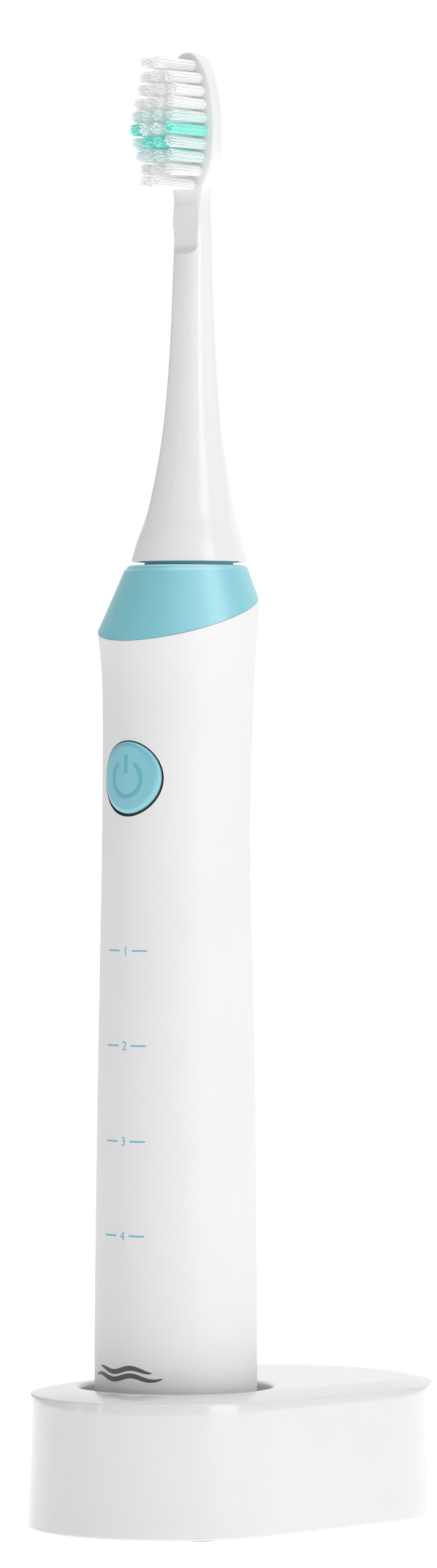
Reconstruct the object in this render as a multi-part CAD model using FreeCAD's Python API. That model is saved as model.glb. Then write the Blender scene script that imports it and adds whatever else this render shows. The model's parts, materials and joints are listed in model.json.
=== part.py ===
# Sonic toothbrush standing in its inductive charger.
# Frame: millimetres, +Z up, the front (button and bristles) faces -Y, the plane X = 0 is the plane of symmetry,
# and the origin is the centre of the charger's footprint on the surface it stands on.
import FreeCAD, Part
import math
import os

from FreeCAD import Vector

os.makedirs("parts", exist_ok=True)

# ---------------------------------------------------------------- driving dimensions
# charger
base_front_r = 24.1        # radius of the round front end, at the bottom edge
base_rear_r = 25.5         # radius of the round rear end, at the bottom edge
base_spacing = 29.5        # distance between the two end centres
base_rim_h = 22.3          # side wall height, from the bottom edge to the rim
base_crown_h = 1.0         # rise of the domed top above the rim
base_crown_w = 8.0         # width of the sloping band of the dome
base_draft = 0.7           # how much narrower the rim is than the bottom edge
base_wall = 2.0
foot_gap = 0.6             # the rubber feet lift the shell by this
foot_r = 4.0
foot_recess = 0.5
plate_t = 1.8
plate_gap = 0.15
well_r = 16.1
well_depth = 11.3
well_wall = 1.6
post_r = 4.8
post_h = 8.0
post_cap = 1.2
core_r = 3.2
core_gap = 0.15
axis_behind_front = 1.2    # handle axis, behind the centre of the front end
inlet_h = 7.2              # centre of the cord inlet above the bottom edge
inlet_bore_r = 1.8
inlet_sleeve_r = 2.9
inlet_flange_r = 4.2
screw_r = 1.0
screw_head_r = 1.9
boss_r = 2.6

# handle: (height above its foot, radius, centre's offset towards the rear)
handle_sections = [
    (0.0, 13.5, 0.0),
    (18.0, 13.57, 0.0),
    (38.0, 13.42, 0.05),
    (58.0, 13.2, 0.15),
    (79.0, 12.8, 0.1),
    (99.0, 12.38, 0.02),
    (109.0, 12.3, 0.12),
    (119.7, 12.42, 0.42),
    (128.0, 12.62, 0.58),
    (134.0, 13.0, 0.5),
    (140.0, 13.55, 0.25),
    (147.0, 13.8, 0.05),
]
handle_wall = 1.8
seam_h = 139.4             # height of the slanted collar seam on the handle axis
seam_slope = 0.325         # rise of the seam towards the rear
seam_gap = 0.12
collar_top_h = 147.95
collar_top_r = 10.0
collar_top_offset = 2.7
collar_wall = 1.7
spigot_depth = 4.0
spigot_wall = 1.2
fit_gap = 0.1

# drive
drive_offset = 3.3         # drive axis behind the handle axis
shaft_r = 1.9
shaft_gap = 0.06
motor_bottom_h = 99.0
motor_len = 34.0
motor_r = 7.0
motor_can_t = 0.5
motor_end_t = 1.5
rotor_r = 4.1
air_gap = 0.35
coil_t = 1.0
bush_r = 3.2
shaft_top_h = 168.3
seal_boss_r = 7.4
seal_neck_r = 5.2
seal_boss_h = 1.1

# brush head: (height above the skirt's edge, half width in X, front Y, rear Y, roundness exponent)
skirt_r = 9.66
skirt_bottom_h = 148.5
skirt_opening_r = 8.4
neck_sections = [
    (0.0, 9.66, -9.66, 9.66, 2.0),
    (3.8, 8.60, -8.45, 8.75, 2.0),
    (7.9, 7.24, -6.85, 7.65, 2.0),
    (12.0, 6.38, -5.75, 6.95, 2.0),
    (16.1, 5.65, -4.85, 6.35, 2.0),
    (20.2, 4.98, -4.15, 5.75, 2.1),
    (24.2, 4.50, -3.60, 5.35, 2.2),
    (32.4, 3.85, -2.85, 4.75, 2.3),
    (40.5, 3.45, -2.30, 4.25, 2.4),
    (48.7, 3.20, -1.90, 3.85, 2.5),
    (56.9, 3.00, -1.45, 3.70, 2.6),
    (64.0, 2.95, -0.75, 3.20, 2.6),
]
scoop_r = 1.8              # rounding where the facet runs out
facet_low = 52.9           # where the flat front facet of the neck starts
facet_face_y = -0.80       # the facet's plane, behind the round front of the neck
head_len = 26.2
head_width = 11.6
head_round = 2.1           # roundness exponent of the oval head
head_t = 3.9
head_face_y = -0.65        # the face that the tufts stand on, from the drive axis
head_top = 85.0            # above the skirt's edge
tuft_r = 0.86
tuft_pitch = 2.2           # between rows
tuft_margin = 1.95         # from the outermost tuft's centre to the head's edge
tuft_inner_x = 1.3         # the two middle columns
tuft_rows = 10
tuft_shift = 0.9           # the tufts' centre above the oval's
tuft_hole_depth = 2.0
tuft_len = 9.2             # free length of the outer tufts beside the accent rows
tuft_fall = 0.24           # how much shorter the outer tufts get per millimetre away from there
tuft_inner_extra = 0.4     # how much longer the inner tufts are
tuft_end_len = 9.5         # free length in the two end rows

# button
button_h = 112.6
button_r = 6.1
button_gap = 0.25
button_proud = 0.35
button_flange_r = 6.85
button_cavity_r = 4.6
button_cap_t = 2.9
button_travel = 0.5

# inside the handle, measured from the handle axis towards the rear
board_front_y = -6.2
board_t = 1.0
board_half_w = 7.2
board_bottom_h = 20.0
board_top_h = 122.0
chassis_t = 1.0
chassis_half_w = 7.8
chassis_bottom_h = 13.0
battery_r = 7.0
battery_len = 48.5
battery_bottom_h = 20.0
mode_heights = [84.0, 68.3, 52.5, 36.9]
cap_t = 2.5
cap_r_gap = 0.1
socket_gap = 0.4
socket_depth = 8.6

# ---------------------------------------------------------------- derived places
base_len = base_front_r + base_spacing + base_rear_r
front_y = -base_len / 2 + base_front_r
rear_y = front_y + base_spacing
handle_y = front_y + axis_behind_front
shell_z = foot_gap
crown_z = shell_z + base_rim_h + base_crown_h
well_z = crown_z - well_depth
seat_z = well_z
drive_y = handle_y + drive_offset
skirt_z = seat_z + skirt_bottom_h
collar_top_z = seat_z + collar_top_h
inner_r = handle_sections[0][1] - handle_wall
X, Y, Z = Vector(1, 0, 0), Vector(0, 1, 0), Vector(0, 0, 1)


# ---------------------------------------------------------------- helpers
def cyl(r, h, x, y, z, axis=Z):
    return Part.makeCylinder(r, h, Vector(x, y, z), axis)


def ring(r_out, r_in, h, x, y, z, axis=Z):
    return cyl(r_out, h, x, y, z, axis).cut(cyl(r_in, h, x, y, z, axis))


def box(x0, x1, y0, y1, z0, z1):
    return Part.makeBox(x1 - x0, y1 - y0, z1 - z0, Vector(x0, y0, z0))


def solid_of(shape):
    """The single solid of a boolean's result, or the shape itself."""
    shape = shape.removeSplitter()
    return shape.Solids[0] if len(shape.Solids) == 1 else shape


def write(name, *shapes):
    """One STEP file per node; several solids make a group."""
    solids = [s for shape in shapes for s in shape.Solids]
    for s in solids:
        if not s.isValid() or s.Volume <= 0:
            print("bad solid in", name)
    out = solids[0] if len(solids) == 1 else Part.makeCompound(solids)
    out.exportStep("parts/%s.step" % name)


def base_outline(inset, z):
    """The charger's outline at height z: two round ends joined by tangents, inset all round."""
    rf, rr = base_front_r - inset, base_rear_r - inset
    lean = math.asin((rf - rr) / base_spacing)
    cos_l, sin_l = math.cos(lean), math.sin(lean)
    fr = Vector(rf * cos_l, front_y + rf * sin_l, z)
    rrp = Vector(rr * cos_l, rear_y + rr * sin_l, z)
    rl = Vector(-rr * cos_l, rear_y + rr * sin_l, z)
    fl = Vector(-rf * cos_l, front_y + rf * sin_l, z)
    edges = [
        Part.LineSegment(fr, rrp).toShape(),
        Part.Arc(rrp, Vector(0, rear_y + rr, z), rl).toShape(),
        Part.LineSegment(rl, fl).toShape(),
        Part.Arc(fl, Vector(0, front_y - rf, z), fr).toShape(),
    ]
    return Part.Wire(edges)


def base_loft(levels):
    """A solid through the outline at each (inset, z)."""
    return Part.makeLoft([base_outline(i, z) for i, z in levels], True, True)


def handle_loft(shrink, low=None, high=None):
    """The handle's outer form, inset by shrink, between two heights above its foot."""
    wires = []
    for h, r, off in handle_sections:
        circle = Part.Circle(Vector(0, handle_y + off, seat_z + h), Z, r - shrink)
        wires.append(Part.Wire(circle.toShape()))
    form = Part.makeLoft(wires, True, False)
    top = handle_sections[-1][0]
    low = 0.0 if low is None else low
    high = top if high is None else high
    if low > 0 or high < top:
        span = 2 * handle_sections[0][1]
        form = form.common(box(-span, span, handle_y - span, handle_y + span, seat_z + low, seat_z + high))
    return form


def seam_block(drop, up=True):
    """Everything above (or below) the slanted seam plane lowered by drop."""
    span = 40.0
    half = span / 2
    z0 = seat_z + seam_h - drop
    rise = seam_slope * half
    edge_z = z0 + span if up else z0 - 160.0
    pts = [
        Vector(-half, handle_y - half, z0 - rise),
        Vector(-half, handle_y + half, z0 + rise),
        Vector(-half, handle_y + half, edge_z),
        Vector(-half, handle_y - half, edge_z),
    ]
    face = Part.Face(Part.makePolygon(pts + [pts[0]]))
    return face.extrude(Vector(span, 0, 0))


def blob(z, half_w, y_front, y_rear, n, count=24):
    """A closed rounded section at height z, from a superellipse."""
    mid, half = (y_front + y_rear) / 2, (y_rear - y_front) / 2
    pts = []
    for k in range(count):
        t = 2 * math.pi * k / count
        c, s = math.cos(t), math.sin(t)
        px = half_w * math.copysign(abs(c) ** (2 / n), c)
        py = half * math.copysign(abs(s) ** (2 / n), s)
        pts.append(Vector(px, drive_y + mid + py, z))
    curve = Part.BSplineCurve()
    curve.interpolate(pts, PeriodicFlag=True)
    return Part.Wire(curve.toShape())


# ---------------------------------------------------------------- charger
shell_bottom_inset = 0.0
crown_steps = 3


def crown_levels(inset, drop):
    """Outline levels from the bottom edge, up the drafted wall and over the dome, inset and lowered for the inside."""
    rim_z = shell_z + base_rim_h - drop
    levels = [(inset, shell_z), (base_draft + inset, rim_z)]
    for k in range(1, crown_steps + 1):
        share = k / crown_steps
        rise = base_crown_h * (1 - (1 - share) ** 2)
        levels.append((base_draft + inset + base_crown_w * share, rim_z + rise))
    return levels


screw_spots = [
    (side * x, y)
    for x, y in ((18.0, handle_y + 18.5), (12.0, rear_y + 15.5))
    for side in (-1, 1)
]
front_screw_y = front_y - base_front_r + base_wall + 2.2


def make_charger_shell():
    outside = base_loft(crown_levels(0.0, 0.0))
    shell = outside.cut(base_loft(crown_levels(base_wall, base_wall)))
    cup = cyl(well_r + well_wall, well_depth + well_wall, 0, handle_y, well_z - well_wall)
    shell = shell.fuse(cup.common(outside))
    shell = shell.cut(cyl(well_r, well_depth + 5, 0, handle_y, well_z))
    shell = shell.fuse(cyl(post_r, post_h, 0, handle_y, well_z))
    plate_top = shell_z + plate_t
    for x, y in screw_spots:
        boss = cyl(boss_r, crown_z - plate_top, x, y, plate_top).common(outside)
        shell = shell.fuse(boss)
        shell = shell.cut(cyl(screw_r, 9.0, x, y, plate_top))
    shell = shell.cut(cyl(core_r + core_gap, post_h + well_wall - post_cap, 0, handle_y, well_z - well_wall))
    inlet = cyl(inlet_sleeve_r + fit_gap, 12, 0, rear_y + base_rear_r - base_wall - 4, shell_z + inlet_h, Y)
    return solid_of(shell.cut(inlet))


def make_bottom_plate():
    plate = Part.Face(base_outline(base_wall + plate_gap, shell_z)).extrude(Vector(0, 0, plate_t))
    for x, y in screw_spots:
        plate = plate.cut(cyl(screw_r + fit_gap, plate_t, x, y, shell_z))
        plate = plate.cut(cyl(screw_head_r + fit_gap, plate_t / 2, x, y, shell_z))
    for x, y in foot_spots:
        plate = plate.cut(cyl(foot_r + fit_gap, foot_recess, x, y, shell_z))
    for x, y in board_posts:
        plate = plate.fuse(cyl(1.6, board_z - shell_z - plate_t, x, y, shell_z + plate_t))
    plate = plate.fuse(ring(8.5, 7.9, 1.2, 0, handle_y, shell_z + plate_t))
    return solid_of(plate)


foot_spots = [
    (side * x, y) for x, y in ((13.0, front_y - 8.0), (10.0, rear_y + 5.0)) for side in (-1, 1)
]
board_z = shell_z + 4.5
board_y0, board_y1 = handle_y + 19.5, rear_y + 11.5
board_posts = [(side * 9.5, y) for y in (board_y0 + 3, board_y1 - 3) for side in (-1, 1)]


def make_screw(x, y):
    head = cyl(screw_head_r, plate_t / 2 - 0.1, x, y, shell_z + 0.1)
    shank = cyl(screw_r - 0.05, 7.0, x, y, shell_z + plate_t / 2)
    slot = box(x - 1.3, x + 1.3, y - 0.25, y + 0.25, shell_z, shell_z + 0.5)
    cross = box(x - 0.25, x + 0.25, y - 1.3, y + 1.3, shell_z, shell_z + 0.5)
    return solid_of(head.fuse(shank).cut(slot).cut(cross))


def make_foot(x, y):
    foot = cyl(foot_r, foot_gap + foot_recess, x, y, 0)
    rim = [e for e in foot.Edges if e.BoundBox.ZMax < 0.01]
    return foot.makeFillet(0.3, rim)


def make_inlet():
    y_out = rear_y + base_rear_r - base_draft * inlet_h / base_rim_h
    sleeve = cyl(inlet_sleeve_r, 5.2, 0, y_out - 5.0, shell_z + inlet_h, Y)
    flange = cyl(inlet_flange_r, 1.4, 0, y_out - base_wall - 2.2, shell_z + inlet_h, Y)
    grommet = sleeve.fuse(flange)
    return solid_of(grommet.cut(cyl(inlet_bore_r, 12, 0, y_out - 8, shell_z + inlet_h, Y)))


coil_z0 = shell_z + plate_t + 0.3
coil_z1 = well_z - well_wall - 0.3
write("charger_shell", make_charger_shell())
write("charger_bottom_plate", make_bottom_plate())
write("charger_screws", *[make_screw(x, y) for x, y in screw_spots])
write("charger_feet", *[make_foot(x, y) for x, y in foot_spots])
write("cord_inlet_grommet", make_inlet())
write("primary_ferrite_core", cyl(core_r, well_z + post_h - post_cap - 0.3 - coil_z0, 0, handle_y, coil_z0))
bobbin = ring(7.6, core_r + core_gap, coil_z1 - coil_z0, 0, handle_y, coil_z0)
bobbin = bobbin.cut(ring(7.7, 4.1, coil_z1 - coil_z0 - 1.6, 0, handle_y, coil_z0 + 0.8))
write("primary_bobbin", solid_of(bobbin))
write("primary_coil", ring(7.3, 4.15, coil_z1 - coil_z0 - 1.8, 0, handle_y, coil_z0 + 0.9))
charger_board = box(-12.5, 12.5, board_y0, board_y1, board_z, board_z + 1.2)
write("charger_circuit_board", charger_board)
board_top = board_z + 1.2
parts_y = (board_y0 + board_y1) / 2
components = [
    cyl(3.0, 7.5, -7.0, parts_y - 1.0, board_top),
    box(-1.5, 7.0, parts_y - 4.0, parts_y + 4.0, board_top, board_top + 6.0),
    box(8.5, 11.0, parts_y - 2.0, parts_y + 2.0, board_top, board_top + 1.6),
    box(-3.0, 3.0, board_y1 - 4.0, board_y1 - 1.0, board_top, board_top + 1.5),
]
write("charger_board_components", *components)

# ---------------------------------------------------------------- handle shells
outer_form = handle_loft(0.0)
inner_form = handle_loft(handle_wall)
below_seam = seam_block(seam_gap, up=False)


def make_housing():
    housing = outer_form.cut(inner_form).common(below_seam)
    hole = cyl(button_r + button_gap, 9.0, 0, handle_y - 16.0, seat_z + button_h, Y)
    housing = housing.cut(hole)
    foot_edges = [
        e
        for e in housing.Edges
        if e.BoundBox.ZMax < seat_z + 0.01 and e.BoundBox.XLength > 2 * inner_r + 1
    ]
    try_round = housing.makeFillet(1.2, foot_edges)
    return solid_of(try_round)


def make_collar():
    above = seam_block(0.0, up=True)
    cut_face = outer_form.common(above)
    slant = [f for f in cut_face.Faces if abs(f.normalAt(0, 0).z) < 0.99 and f.BoundBox.ZMin < seat_z + seam_h - 2
             and f.Surface.TypeId == "Part::GeomPlane"][0]
    low_wire = slant.OuterWire
    top_circle = Part.Circle(Vector(0, handle_y + collar_top_offset, collar_top_z), Z, collar_top_r)
    body = Part.makeLoft([low_wire, Part.Wire(top_circle.toShape())], True, True)
    top_edges = [e for e in body.Edges if e.BoundBox.ZMin > collar_top_z - 0.01]
    body = body.makeFillet(0.7, top_edges)
    inner_low = handle_loft(spigot_wall + handle_wall + fit_gap).common(seam_block(-collar_wall, up=False))
    cavity_roof = collar_top_z - 2.6
    cavity = Part.makeCone(
        handle_sections[-1][1] - 4.8, collar_top_r - collar_wall - 0.6, 10.0,
        Vector(0, handle_y + collar_top_offset * 0.6, cavity_roof - 10.0), Z,
    )
    cavity = cavity.common(seam_block(1.0, up=True))
    spigot = handle_loft(handle_wall + fit_gap).common(seam_block(spigot_depth, up=True))
    spigot = spigot.common(seam_block(-0.01, up=False))
    collar = body.fuse(spigot).cut(inner_low).cut(cavity)
    collar = collar.cut(cyl(seal_neck_r + 0.02, 20, 0, drive_y, collar_top_z - 6))
    return solid_of(collar)


write("handle_housing", make_housing())
write("top_collar", make_collar())

# ---------------------------------------------------------------- bottom of the handle
cap_r = inner_r - cap_r_gap
socket_r = post_r + socket_gap
oring_z = seat_z + cap_t + 1.3


def make_bottom_cap():
    cap = cyl(cap_r, cap_t, 0, handle_y, seat_z)
    cap = cap.fuse(cyl(socket_r + 1.5, socket_depth + 1.6, 0, handle_y, seat_z))
    cap = cap.fuse(ring(cap_r, cap_r - 1.6, cap_t + 3.6, 0, handle_y, seat_z))
    cap = cap.cut(cyl(socket_r, socket_depth, 0, handle_y, seat_z))
    return solid_of(cap.cut(ring(cap_r + 1, cap_r - 0.9, 1.4, 0, handle_y, oring_z - 0.1)))


write("bottom_cap", make_bottom_cap())
write("bottom_seal_ring", ring(inner_r - 0.03, cap_r - 0.85, 1.2, 0, handle_y, oring_z))
write("secondary_coil", ring(9.6, socket_r + 1.6, 5.0, 0, handle_y, seat_z + cap_t + 0.2))
write("secondary_ferrite_ring", ring(9.6, socket_r + 1.6, 1.2, 0, handle_y, seat_z + cap_t + 5.4))

# ---------------------------------------------------------------- chassis, board and battery
board_y = handle_y + board_front_y
web_y = board_y + board_t
motor_top_h = motor_bottom_h + motor_len
mount_h = motor_top_h + 1.0
battery_y = web_y + chassis_t + 0.15 + battery_r


def make_chassis():
    web = box(-chassis_half_w, chassis_half_w, web_y, web_y + chassis_t, seat_z + chassis_bottom_h, seat_z + mount_h)
    floor = cyl(inner_r - 0.35, 1.5, 0, handle_y, seat_z + chassis_bottom_h)
    floor = floor.cut(box(-20, 20, handle_y - 20, web_y, seat_z, seat_z + 40))
    shelf_h = battery_bottom_h + battery_len + 1.2
    shelf = handle_loft(handle_wall + 0.35, shelf_h, shelf_h + 1.2)
    shelf = shelf.cut(box(-20, 20, handle_y - 20, web_y, seat_z, seat_z + 140))
    chassis = web.fuse(floor).fuse(shelf)
    for side in (-1, 1):
        x0, x1 = sorted((side * (battery_r + 0.35), side * (battery_r + 1.3)))
        rail = box(x0, x1, web_y, battery_y + 1.0, seat_z + chassis_bottom_h, seat_z + shelf_h)
        chassis = chassis.fuse(rail)
    disc = cyl(motor_r + 2.2, 2.0, 0, handle_y + 0.6, seat_z + mount_h)
    chassis = chassis.fuse(disc).cut(cyl(bush_r + 0.02, 6, 0, drive_y, seat_z + mount_h - 2))
    return solid_of(chassis)


write("chassis", make_chassis())
write("main_circuit_board", box(-board_half_w, board_half_w, board_y, web_y, seat_z + board_bottom_h, seat_z + board_top_h))
cell = cyl(battery_r, battery_len - 1.0, 0, battery_y, seat_z + battery_bottom_h)
cell = cell.fuse(cyl(2.6, battery_len, 0, battery_y, seat_z + battery_bottom_h))
write("battery_cell", solid_of(cell))
tab_low = box(-3, 3, web_y + chassis_t, battery_y + 3, seat_z + battery_bottom_h - 0.3, seat_z + battery_bottom_h)
tab_high_z = seat_z + battery_bottom_h + battery_len
tab_high = box(-2.4, 2.4, web_y + chassis_t, battery_y + 2.4, tab_high_z, tab_high_z + 0.3)
write("battery_tabs", tab_low, tab_high)
pad_z0 = seat_z + chassis_bottom_h + 1.5
write("battery_pad", cyl(6.0, battery_bottom_h - chassis_bottom_h - 1.5 - 0.3, 0, battery_y, pad_z0))
write("board_processor", box(-2.5, 2.5, board_y - 1.0, board_y, seat_z + 95.0, seat_z + 100.0))
leds, guides = [], []
for h in mode_heights:
    leds.append(box(-0.8, 0.8, board_y - 0.6, board_y, seat_z + h - 0.5, seat_z + h + 0.5))
    guide = cyl(1.6, 6.0, 0, handle_y - 14.0, seat_z + h, Y)
    guide = guide.common(handle_loft(handle_wall + 0.12, h - 3, h + 3))
    guides.append(guide.cut(box(-3, 3, board_y - 0.65, board_y + 20, seat_z + h - 3, seat_z + h + 3)))
write("mode_leds", *leds)
rail_y0 = board_y - 1.6
carrier = box(-2.6, 2.6, rail_y0, board_y - 0.7, seat_z + mode_heights[-1] - 4, seat_z + mode_heights[0] + 4)
for h in mode_heights:
    carrier = carrier.cut(cyl(1.62, 4, 0, board_y - 3, seat_z + h, Y))
for side in (-1, 1):
    x0, x1 = sorted((side * 2.0, side * 2.6))
    carrier = carrier.fuse(
        box(x0, x1, rail_y0, board_y, seat_z + mode_heights[-1] - 4, seat_z + mode_heights[0] + 4)
    )
write("light_guide_carrier", solid_of(carrier))
write("light_guides", *guides)

# ---------------------------------------------------------------- button and switch
button_z = seat_z + button_h
button_front_r = 12.3 + button_proud
button_centre_y = handle_y + 0.15
button_front_y = button_centre_y - button_front_r
flange_y0 = board_y - 1.4
flange_y1 = flange_y0 + 0.5
cap_inner_y = button_front_y + button_cap_t
switch_front_y = board_y - 1.2


def make_button():
    stem = cyl(button_r, flange_y1 - button_front_y + 1, 0, button_front_y - 1, button_z, Y)
    face = cyl(button_front_r, 40, 0, button_centre_y, button_z - 20)
    button = stem.common(face)
    rim = [e for e in button.Edges if e.BoundBox.YMax < button_centre_y - 8 and e.BoundBox.ZLength > button_r]
    button = button.makeFillet(0.75, rim)
    button = button.fuse(cyl(button_flange_r, flange_y1 - flange_y0, 0, flange_y0, button_z, Y))
    button = button.cut(cyl(button_cavity_r, 20, 0, cap_inner_y, button_z, Y))
    return solid_of(button)


write("power_button", make_button())
plunger = cyl(0.9, switch_front_y + 0.4 - cap_inner_y, 0, cap_inner_y, button_z, Y)
write("switch_plunger", plunger)
switch = box(-2.6, 2.6, switch_front_y, board_y, button_z - 2.6, button_z + 2.6)
write("tact_switch", solid_of(switch.cut(cyl(0.96, 1.1, 0, switch_front_y, button_z, Y))))
write("button_gasket", ring(6.9, 4.9, 0.35, 0, board_y - 0.35, button_z, Y))

# ---------------------------------------------------------------- motor and drive
motor_z = seat_z + motor_bottom_h
motor_top_z = seat_z + motor_top_h
core_z0, core_len = motor_z + 6.0, motor_len - 12.0
coil_in_r = rotor_r + air_gap
coil_out_r = coil_in_r + coil_t
write("motor_can", ring(motor_r, motor_r - motor_can_t, motor_len, 0, drive_y, motor_z))
end_r = motor_r - motor_can_t - 0.02
cap_low = ring(end_r, bush_r + 0.02, motor_end_t, 0, drive_y, motor_z)
cap_high = ring(end_r, bush_r + 0.02, motor_end_t, 0, drive_y, motor_top_z - motor_end_t)
write("motor_end_plates", cap_low, cap_high)
write("stator_core", ring(end_r, coil_out_r + 0.05, core_len, 0, drive_y, core_z0))
write("stator_coil", ring(coil_out_r, coil_in_r, core_len + 4.0, 0, drive_y, core_z0 - 2.0))
bush_bore = shaft_r + shaft_gap
write(
    "shaft_bushes",
    ring(bush_r, bush_bore, motor_end_t, 0, drive_y, motor_z),
    ring(bush_r, bush_bore, motor_end_t, 0, drive_y, motor_top_z - motor_end_t),
    ring(bush_r, bush_bore, 2.0, 0, drive_y, seat_z + mount_h),
)
shaft = cyl(shaft_r, shaft_top_h - motor_bottom_h - 0.3, 0, drive_y, motor_z + 0.3)
shaft_top_z = seat_z + shaft_top_h
flat = box(-3, 3, drive_y + shaft_r - 0.5, drive_y + 3, shaft_top_z - 11, shaft_top_z + 1)
tip = [e for e in shaft.Edges if e.BoundBox.ZMin > shaft_top_z - 0.01]
write("drive_shaft", solid_of(shaft.makeChamfer(0.4, tip).cut(flat)))
yoke_r = 2.9
write("rotor_yoke", ring(yoke_r, shaft_r + 0.02, core_len - 2, 0, drive_y, core_z0 + 1))
magnets = []
for k in range(4):
    wedge = Part.makeCylinder(rotor_r, core_len - 4, Vector(0, drive_y, core_z0 + 2), Z, 84)
    wedge.rotate(Vector(0, drive_y, 0), Z, 90 * k + 3)
    magnets.append(wedge.cut(cyl(yoke_r + 0.02, core_len, 0, drive_y, core_z0)))
write("rotor_magnets", *magnets)


def make_seal():
    seal = cyl(seal_neck_r, 3.4, 0, drive_y, collar_top_z - 2.9)
    seal = seal.fuse(cyl(seal_boss_r, seal_boss_h, 0, drive_y, collar_top_z))
    seal = seal.fuse(Part.makeCone(seal_boss_r - 1.2, 3.4, 2.2, Vector(0, drive_y, collar_top_z + seal_boss_h), Z))
    return solid_of(seal.cut(cyl(shaft_r + 0.08, 12, 0, drive_y, collar_top_z - 4)))


write("shaft_seal", make_seal())

# ---------------------------------------------------------------- brush head
head_bore_r = 3.1
skirt_ring_h = 1.2
clip_z0 = skirt_z + 7.4
clip_len = shaft_top_z - clip_z0 - 0.6


def make_head_body():
    wires = [blob(skirt_z + b, w, yf, yr, n) for b, w, yf, yr, n in neck_sections]
    neck = Part.makeLoft(wires, True, False)
    facet = box(-10, 10, drive_y - 20, drive_y + facet_face_y, skirt_z + facet_low, skirt_z + 90)
    scoop = cyl(scoop_r, 20, -10, drive_y + facet_face_y - scoop_r, skirt_z + facet_low, X)
    neck = neck.cut(facet).cut(scoop)
    half_l, half_w = head_len / 2, head_width / 2
    mid_z = skirt_z + head_top - half_l
    face_y = drive_y + head_face_y
    pts = []
    for k in range(32):
        t = 2 * math.pi * k / 32
        c, s = math.cos(t), math.sin(t)
        px = half_w * math.copysign(abs(c) ** (2 / head_round), c)
        pz = half_l * math.copysign(abs(s) ** (2 / head_round), s)
        pts.append(Vector(px, face_y, mid_z + pz))
    rim = Part.BSplineCurve()
    rim.interpolate(pts, PeriodicFlag=True)
    oval = Part.Face(Part.Wire(rim.toShape())).extrude(Vector(0, head_t, 0))
    back = [e for e in oval.Edges if e.BoundBox.YMin > drive_y + head_face_y + head_t - 0.01]
    oval = oval.makeFillet(1.7, back)
    front = [e for e in oval.Edges if e.BoundBox.YMax < drive_y + head_face_y + 0.01]
    oval = oval.makeFillet(0.35, front)
    body = neck.fuse(oval)
    mouth = cyl(skirt_opening_r, skirt_ring_h + 0.3, 0, drive_y, skirt_z)
    cone = Part.makeCone(skirt_opening_r - 0.7, head_bore_r, 7.6, Vector(0, drive_y, skirt_z + skirt_ring_h), Z)
    body = body.cut(mouth).cut(cone).cut(cyl(head_bore_r, shaft_top_z - skirt_z + 0.6 - 8, 0, drive_y, skirt_z + 8))
    for hole in tuft_holes():
        body = body.cut(hole)
    return body.Solids[0]


def tuft_spots():
    """(x, height, free length, is_accent) of each tuft on the oval face."""
    spots = []
    mid_z = skirt_z + head_top - head_len / 2 + tuft_shift
    for row in range(tuft_rows):
        dz = (tuft_rows - 1) / 2 * tuft_pitch - row * tuft_pitch
        half_oval = head_width / 2 * math.sqrt(1 - (2 * dz / head_len) ** 2)
        span = half_oval - tuft_margin
        count = 2 if span < 2.2 else 3 if span < 3.0 else 4
        for col in range(count):
            x = (2 * col / (count - 1) - 1) * (span if count > 2 else tuft_inner_x)
            outer = col in (0, count - 1)
            free = max(7.8, tuft_len - tuft_fall * abs(dz + tuft_pitch / 2)) + (0 if outer else tuft_inner_extra)
            if count == 2:
                free = tuft_end_len
            accent = (row == 5 and outer) or (row == 6 and not outer)
            spots.append((x, mid_z + dz, free, accent))
    return spots


def tuft_holes():
    """A blind hole in the face for each tuft."""
    face = drive_y + head_face_y
    holes = []
    for x, z, free, accent in tuft_spots():
        holes.append(cyl(tuft_r + 0.02, tuft_hole_depth + 1.0, x, face - 1.0, z, Y))
    return holes


def make_tufts(accent):
    face = drive_y + head_face_y
    out = []
    for x, z, free, is_accent in tuft_spots():
        if is_accent == accent:
            tuft = cyl(tuft_r, free + tuft_hole_depth, x, face - free, z, Y)
            tip_edge = [e for e in tuft.Edges if e.BoundBox.YMax < face - free + 0.01]
            out.append(tuft.makeFillet(0.3, tip_edge))
    return out


write("brush_head_body", make_head_body())
write("white_bristle_tufts", *make_tufts(False))
write("teal_bristle_tufts", *make_tufts(True))
clip = ring(head_bore_r - 0.03, shaft_r + 0.04, clip_len, 0, drive_y, clip_z0)
key = box(-3, 3, drive_y + shaft_r - 0.46, drive_y + 5, shaft_top_z - 10.8, shaft_top_z - 0.6)
key = key.common(cyl(head_bore_r - 0.03, 60, 0, drive_y, clip_z0 - 10))
write("shaft_clip", solid_of(clip.fuse(key)))
skirt_ring = ring(skirt_opening_r - 0.02, seal_boss_r + 0.4, skirt_ring_h, 0, drive_y, skirt_z + 0.15)
write("skirt_ring", skirt_ring)
print("nodes", len(os.listdir("parts")), "height", skirt_z + head_top)
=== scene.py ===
# Sonic toothbrush on its charger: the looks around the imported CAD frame.
# Metres, +Z up, front towards -Y. Sizes of the object are in millimetres and become metres in add_mesh;
# the studio's lights and camera are in metres.
import json
import math

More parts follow.
